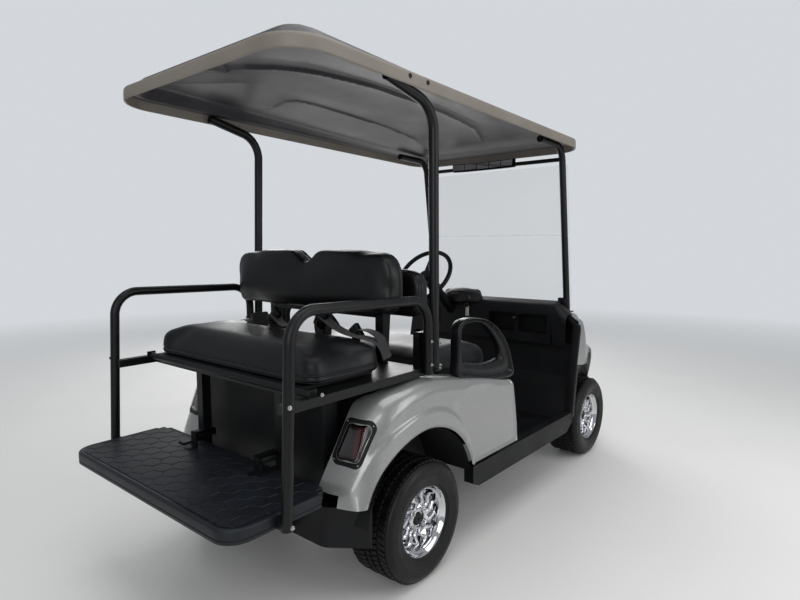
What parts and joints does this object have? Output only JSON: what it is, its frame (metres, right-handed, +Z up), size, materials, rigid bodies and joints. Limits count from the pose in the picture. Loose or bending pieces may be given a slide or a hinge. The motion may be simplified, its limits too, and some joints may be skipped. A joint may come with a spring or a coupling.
{
  "type": "four-seat golf cart",
  "caption": "Open golf cart with a roof, windscreen, front bench, rear-facing flip-over bench, footrest and grab rails.",
  "frame": {"origin": "on the floor below the middle of the cart's box", "axes": "+X forward, +Y to the left, +Z up"},
  "size_m": [2.85, 1.1834, 1.909],
  "materials": {
    "body_silver": "metallic silver paint on moulded body panels",
    "roof_beige": "thermoformed sheet, satin",
    "trim_black": "moulded, fine grain",
    "steel_black": "black powder coat",
    "bare_metal": "cast and machined",
    "battery_case": "plain moulded case",
    "vinyl_black": "grained vinyl",
    "tyre_rubber": "street tread",
    "wheel_chrome": "bright chrome",
    "screen_clear": "clear moulded sheet",
    "lamp_red": "moulded lens",
    "lamp_clear": "moulded lens",
    "mirror_glass": "mirror panels in a black case"
  },
  "bodies": {
    "root": {"quarter_left": "body_silver", "quarter_right": "body_silver", "front_cowl": "body_silver", "roof": "roof_beige", "floor_pan": "trim_black", "rocker_strips": "trim_black", "seat_box": "trim_black", "bag_well": "trim_black", "rear_bumper": "trim_black", "front_bumper": "trim_black", "dash": "trim_black", "pedals": "trim_black", "footrest": "trim_black", "hip_restraints": "trim_black", "steering_column": "trim_black", "chassis_frame": "steel_black", "rear_strut_left": "steel_black", "rear_strut_right": "steel_black", "screen_frame": "steel_black", "rear_seat_frame": "steel_black", "strut_brackets": "steel_black", "grab_rail_left": "steel_black", "grab_rail_right": "steel_black", "backrest_frame": "steel_black", "rear_springs": "steel_black", "front_axle": "steel_black", "drive_axle": "bare_metal", "battery_pack": "battery_case", "rear_backrest": "vinyl_black", "front_backrest": "vinyl_black", "screen_panes": "screen_clear", "tail_lamps": "lamp_red", "head_lamps": "lamp_clear", "mirror": "mirror_glass"},
    "rear_wheel_left": {"tyre_rl": "tyre_rubber", "wheel_rl": "wheel_chrome"},
    "rear_wheel_right": {"tyre_rr": "tyre_rubber", "wheel_rr": "wheel_chrome"},
    "front_wheel_left": {"tyre_fl": "tyre_rubber", "wheel_fl": "wheel_chrome"},
    "front_wheel_right": {"tyre_fr": "tyre_rubber", "wheel_fr": "wheel_chrome"},
    "knuckle_left": {"knuckle_left": "steel_black"},
    "knuckle_right": {"knuckle_right": "steel_black"},
    "tie_rod": {"tie_rod": "bare_metal"},
    "steering_wheel": {"steering_wheel": "trim_black"},
    "rear_seat": {"rear_cushion": "vinyl_black", "flip_deck": "trim_black"},
    "front_seat": {"front_cushion": "vinyl_black", "front_seat_board": "trim_black"}
  },
  "joints": [
    {"name": "rear_wheel_left_spin", "type": "hinge", "parent": "root", "child": "rear_wheel_left", "pos_m": [-0.625, 0.49, 0.229], "axis": [0, 1, 0], "continuous": true},
    {"name": "rear_wheel_right_spin", "type": "hinge", "parent": "root", "child": "rear_wheel_right", "pos_m": [-0.625, -0.49, 0.229], "axis": [0, 1, 0], "continuous": true},
    {"name": "steer_left", "type": "hinge", "parent": "root", "child": "knuckle_left", "pos_m": [1.045, 0.375, 0.229], "axis": [0, 0, 1], "range_deg": [-30, 30]},
    {"name": "steer_right", "type": "hinge", "parent": "root", "child": "knuckle_right", "pos_m": [1.045, -0.375, 0.229], "axis": [0, 0, 1], "range_deg": [-30, 30]},
    {"name": "tie_rod_slide", "type": "slide", "parent": "root", "child": "tie_rod", "axis": [0, 1, 0], "range_m": [-0.036, 0.036]},
    {"name": "front_wheel_left_spin", "type": "hinge", "parent": "knuckle_left", "child": "front_wheel_left", "pos_m": [1.045, 0.45, 0.229], "axis": [0, 1, 0], "continuous": true},
    {"name": "front_wheel_right_spin", "type": "hinge", "parent": "knuckle_right", "child": "front_wheel_right", "pos_m": [1.045, -0.45, 0.229], "axis": [0, 1, 0], "continuous": true},
    {"name": "steering_wheel_turn", "type": "hinge", "parent": "root", "child": "steering_wheel", "pos_m": [0.435, 0.24, 1.075], "axis": [-0.788, 0, 0.6157], "range_deg": [-361, 361]},
    {"name": "rear_seat_flip", "type": "hinge", "parent": "root", "child": "rear_seat", "pos_m": [-1.103, 0, 0.7985], "axis": [0, -1, 0], "range_deg": [0, 180]},
    {"name": "front_seat_lift", "type": "hinge", "parent": "root", "child": "front_seat", "pos_m": [-0.44, 0, 0.697], "axis": [0, -1, 0], "range_deg": [0, 60]}
  ],
  "couplings": [
    {"joint": "steer_right", "follows": "steer_left", "ratio": 1},
    {"joint": "tie_rod_slide", "follows": "steer_left", "m_per_rad": -0.068},
    {"joint": "steering_wheel_turn", "follows": "steer_left", "ratio": 12}
  ]
}
